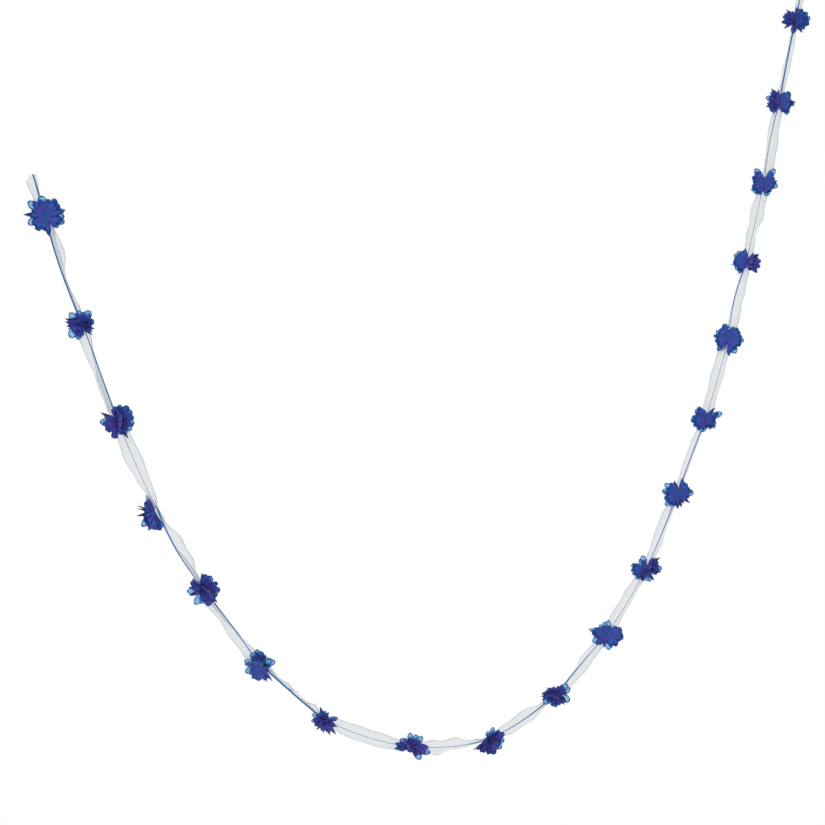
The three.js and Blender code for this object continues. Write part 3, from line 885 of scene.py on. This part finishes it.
def loose_petal(bm, layers, heading, length, spike, height, random):
    """Adds a single petal that lies out alone, along heading in the bloom's own axes."""
    made = bmesh.ops.create_grid(bm, x_segments=PETAL_CUTS, y_segments=PETAL_CUTS, size=0.5)["verts"]
    full_width = (SPIKE_WIDTH if spike else LIGHT_WIDTH) * random.uniform(*WIDTH_SPREAD)
    width = full_width * min(length / WIDE_LENGTH, WIDEST)
    level = Vector((heading.x, heading.y)).length
    rise = math.atan2(heading.z, level) + math.radians(random.uniform(*(SPIKE_LIFT if spike else LIGHT_LIFT)))
    ahead = Vector((heading.x, heading.y)) / level
    sideways = Vector((-ahead.y, ahead.x))
    curl = random.uniform(*LOOSE_CURL) * MM
    marks = {}
    for v in made:
        out, across = math.sin((v.co.x + 0.5) * math.pi / 2), 2 * v.co.y  # rows lie closer near the tip
        from_fold = 1 - abs(across)
        if spike:
            outline = max(1 - out ** SPIKE_TAPER, SPIKE_POINT)
            roof = ROOF * from_fold * (1 - ROOF_FALLS * out)
        else:
            tip = max(out - WIDEST_AT, 0) / (1 - WIDEST_AT)
            outline = max(1 - tip ** 2, 0) ** 0.5 * mix(ROOT_WIDTH, 1, min(out / WIDEST_AT, 1))
            roof = -SAG * from_fold ** 2
        along = LOOSE_ROOT + (length - LOOSE_ROOT) * out
        aside = across * width / 2 * outline
        depth = roof + curl * out ** 2
        place = ahead * (along * math.cos(rise)) + sideways * aside
        v.co = Vector((place.x, place.y, height + along * math.sin(rise) + depth))
        edge = max(past(abs(across), *SIDE_SEALED) * (out > SEAL_STARTS), past(out, *TIP_SEALED))
        # Painted shade on one flank of a spike's fold.
        painted_dark = SPIKE_FLANK_SHADE * spike * (across < FLANK_FROM) * past(out, *FLANK_GROWS)
        marks[v] = (Vector((aside, along)), SPIKE_PLIES * spike, edge, painted_dark)
    tag_cloth(layers, marks, 0 if spike else 1)


# %% Counting the thicknesses of cloth
NEAR = 9 * MM  # cloth further off than this isn't counted
CLEAR = 0.05 * MM
COVERED_FROM, COVERED_WITHIN = 0.35 * MM, 8 * MM  # a point is covered if cloth lies between these over it
COVERED_SHADE = 0.1  # how dark the painted shade is on covered cloth that stands up


def crossings(tree, start, direction):
    """How many faces a short ray from start meets."""
    count, left = 0, NEAR
    place = start + direction * CLEAR
    while count < MOST_PLIES and left > 0:
        hit, _, _, distance = tree.ray_cast(place, direction, left)
        if hit is None:
            break
        count += 1
        left -= distance + CLEAR
        place = hit + direction * CLEAR
    return count


def count_plies(bm, plies, deep):
    """Stores how many thicknesses of cloth lie over one another at each point, and paints shade on covered
    cloth.
    """
    bm.normal_update()
    tree = BVHTree.FromBMesh(bm)
    outward = Vector((0, 0, 1))
    for v in bm.verts:
        through = crossings(tree, v.co, v.normal) + crossings(tree, v.co, -v.normal)
        in_depth = crossings(tree, v.co, outward) + crossings(tree, v.co, -outward)
        covered = tree.ray_cast(v.co + outward * COVERED_FROM, outward, COVERED_WITHIN)[0]
        # Painted shade on cloth that stands up under other cloth.
        if v[plies] > MOST_COUNTED and covered:
            v[deep] = max(v[deep], COVERED_SHADE)
        v[plies] = max(v[plies], MOST_COUNTED * min(max(through, in_depth) / (MOST_PLIES - 1), 1.0))
    # The counts are evened out with those of each point's neighbours.
    means = [(v[plies] + sum(e.other_vert(v)[plies] for e in v.link_edges)) / (1 + len(v.link_edges))
             for v in bm.verts]
    for v, mean in zip(bm.verts, means):
        v[plies] = mean


# %% Making a bloom
BENT_OVER = 0.76  # the highest layer of a half that stands up bends over to this share of its lift
FANNED = 0.75  # the exponent of the lifts, so that the layers lie closer near the highest one
LIFT_SPREAD = 3  # degrees more or less, drawn at random
UPRIGHT_PLIES, UPRIGHT_LOWEST = 1.15, 0.5  # the least plies of a half that stands up, and of its lowest layer
LYING_PLIES = 0.7  # and of the layers above the two lowest ones of a half that lies
LOOSE_HEIGHT, LIGHT_RISE, SPIKE_RISE = 0.5 * MM, 0.12 * MM, 1.4 * MM  # each light petal lies over the last
MOST_STRETCHED = 1.25, 1.3  # how much longer a foreshortened petal gets at most, in the stack and alone


def stack_petals(bloom, axes, side):
    """The stack's petals on one side of the stitches: each one's angle there, share and kind."""
    petals = []
    for listed, pointed in ((bloom.round, False), (bloom.pointed, True)):
        for clock, share in listed.items():
            heading = clock_heading(clock, axes)
            away = heading.z if bloom.spin > SIDE_ON else heading.y * side
            if away > 0:
                stretch = min(math.hypot(heading.x, away), MOST_STRETCHED[0])
                petals.append((math.atan2(heading.x, away), share * stretch, pointed))
    return petals


def make_bloom(index):
    bloom = BLOOMS[index]
    axes = sewn_axes(index)
    random = Random(index + 1)
    reach = bloom.reach * MM
    bm = bmesh.new()
    layers = (bm.loops.layers.uv.new("cloth"), *(bm.verts.layers.float.new(stored) for stored in STORED))
    loose = [*bloom.light.items(), *bloom.spikes.items()]
    for number, (clock, share) in enumerate(loose):
        spike = number >= len(bloom.light)
        heading = clock_heading(clock, axes)
        height = LOOSE_HEIGHT + (SPIKE_RISE if spike else LIGHT_RISE * number)
        length = reach * share * min(heading.length, MOST_STRETCHED[1])
        loose_petal(bm, layers, heading, length, spike, height, random)
    for side, (lowest, highest) in ((1, bloom.inner), (-1, bloom.outer)):
        petals = stack_petals(bloom, axes, side)
        upright = highest > UPRIGHT
        count = STANDING_LAYERS if upright else LYING_LAYERS
        for layer in range(count):
            lift = mix(lowest, highest * (BENT_OVER if upright else 1), (layer / (count - 1)) ** FANNED)
            lift += random.uniform(-LIFT_SPREAD, LIFT_SPREAD)
            if upright:
                thickest = UPRIGHT_PLIES if layer else UPRIGHT_LOWEST
            else:
                thickest = LYING_PLIES if layer > 1 else 0
            half_disc(bm, layers, petals, reach, lift, side, layer, thickest, random)
    count_plies(bm, layers[1], layers[3])
    bm.transform(axes)
    piece = finish_piece(bm, f"chiffon_bloom_{index + 1:02}", STACKED, CHIFFON_THICKNESS)
    piece.data.materials.append(SINGLE)
    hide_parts(f"bloom_{index + 1:02}")
    return piece


blooms = [make_bloom(index) for index in range(len(BLOOMS))]
print("blooms:", len(blooms), "with", sum(len(b.data.polygons) for b in blooms), "faces")

# %% [markdown]
# ## The stitches
#
# A row of short stitches of the same thread runs down the middle of each bloom and holds the stack together.
# Each could be a bent cord, but its ends dip into the cloth and only its back shows, so a stretched sphere
# does.

# %% Stitches
STITCH_LENGTH = 3.0 * MM
STITCH_PITCH = 3.3 * MM
STITCH_RADIUS = 0.42 * MM
STITCHES = 4


def make_stitches(index):
    bm = bmesh.new()
    height = FIRST_LAYER + LAYER_RISE * (LYING_LAYERS - 1) + STITCH_RADIUS
    for number in range(STITCHES):
        made = bmesh.ops.create_uvsphere(bm, u_segments=8, v_segments=6, radius=STITCH_RADIUS)["verts"]
        shift = (number - (STITCHES - 1) / 2) * STITCH_PITCH
        stretch = STITCH_LENGTH / 2 / STITCH_RADIUS
        bmesh.ops.scale(bm, vec=(stretch, 1, 1), verts=made)
        bmesh.ops.translate(bm, vec=(shift, 0, height), verts=made)
    bm.loops.layers.uv.new("cloth")
    bm.transform(sewn_axes(index))
    return finish_piece(bm, f"stitches_{index + 1:02}", THREAD)


stitches = [make_stitches(index) for index in range(len(BLOOMS))]
print("stitches in", len(stitches), "blooms")

# %% [markdown]
# ## The studio
#
# The photograph has a plain white background and soft light from all sides. A ring of lamps could give that
# light, and a white world gives it more evenly. One large lamp from the upper left shapes the folds. The
# floor is white paper, well below the swag. The Standard view transform keeps white paper white.

# %% Light and floor
FLOOR_HEIGHT = -1.5
FLOOR_RADIUS = 1.9
world = bpy.data.worlds.new("white studio")
bpy.context.scene.world = world
world.use_nodes = True
world.node_tree.nodes["Background"].inputs["Color"].default_value = linear("#FFFFFF")
bpy.context.scene.view_settings.view_transform = "Standard"

MIDDLE = Vector((0.45, 0.0, -0.15))  # of the swag
LAMP_PLACE = Vector((-1.4, -1.8, 1.5))
lamp = bpy.data.lights.new("key", "AREA")
lamp.size = 1.0
lamp.energy = 22
add_object("key", lamp).matrix_world = aimed(LAMP_PLACE, MIDDLE - LAMP_PLACE)


def white_paper():
    material = new_material("white studio paper")
    place = add_node(material, "TexCoord")
    grain = add_node(material, "TexNoise", {"Vector": (place, "Object"), "Scale": 40.0})
    tint = colour_ramp(material, (grain, "Fac"), [(0.0, "#FAFAFA"), (1.0, "#FFFFFF")])
    paper = add_node(material, "BsdfPrincipled", {"Base Color": (tint, "Color"), "Roughness": 0.9})
    add_node(material, "OutputMaterial", {"Surface": (paper, "BSDF")})
    return material


bm = bmesh.new()
bmesh.ops.create_circle(bm, cap_ends=True, segments=96, radius=FLOOR_RADIUS)
bmesh.ops.translate(bm, vec=(MIDDLE.x, MIDDLE.y, FLOOR_HEIGHT), verts=bm.verts)
floor = finish_mesh(bm, "studio_floor", white_paper())
